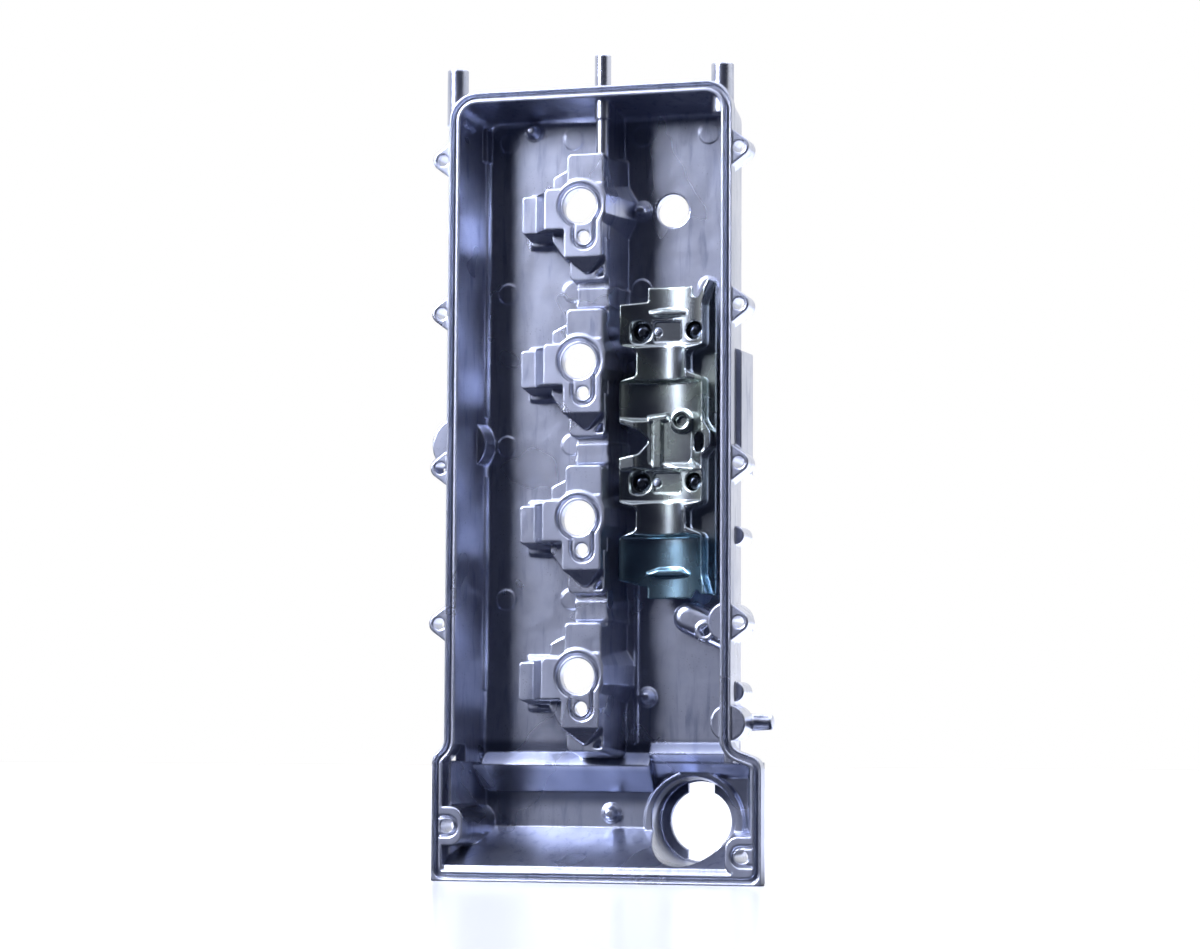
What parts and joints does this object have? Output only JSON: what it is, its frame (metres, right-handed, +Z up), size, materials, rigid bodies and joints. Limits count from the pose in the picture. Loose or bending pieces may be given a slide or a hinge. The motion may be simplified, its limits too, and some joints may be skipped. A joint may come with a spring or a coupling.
{
  "type": "engine valve cover",
  "caption": "Long die-cast cover for a cylinder head, open on its inside, with injector wells, a filler neck, a gasket groove and a stamped oil baffle.",
  "frame": {"origin": "On the plane of the front end that the cover stands on, in the plane of the sealing face, midway between the two long side rims.", "axes": "+Z up along the cover from the front end to the rear end, +Y from the open sealing face towards the roof, +X across to the right as seen from the open side."},
  "size_m": [0.224, 0.066, 0.5125],
  "materials": {
    "die_cast_aluminium": "as-cast aluminium alloy, bluish silver, with machined lands",
    "zinc_plated_steel": "stamped sheet with a thin greenish zinc plating",
    "dark_steel": "dark phosphated steel"
  },
  "bodies": {
    "root": {"cover_casting": "die_cast_aluminium", "baffle_plate": "zinc_plated_steel", "baffle_rivets": "dark_steel"}
  },
  "joints": []
}
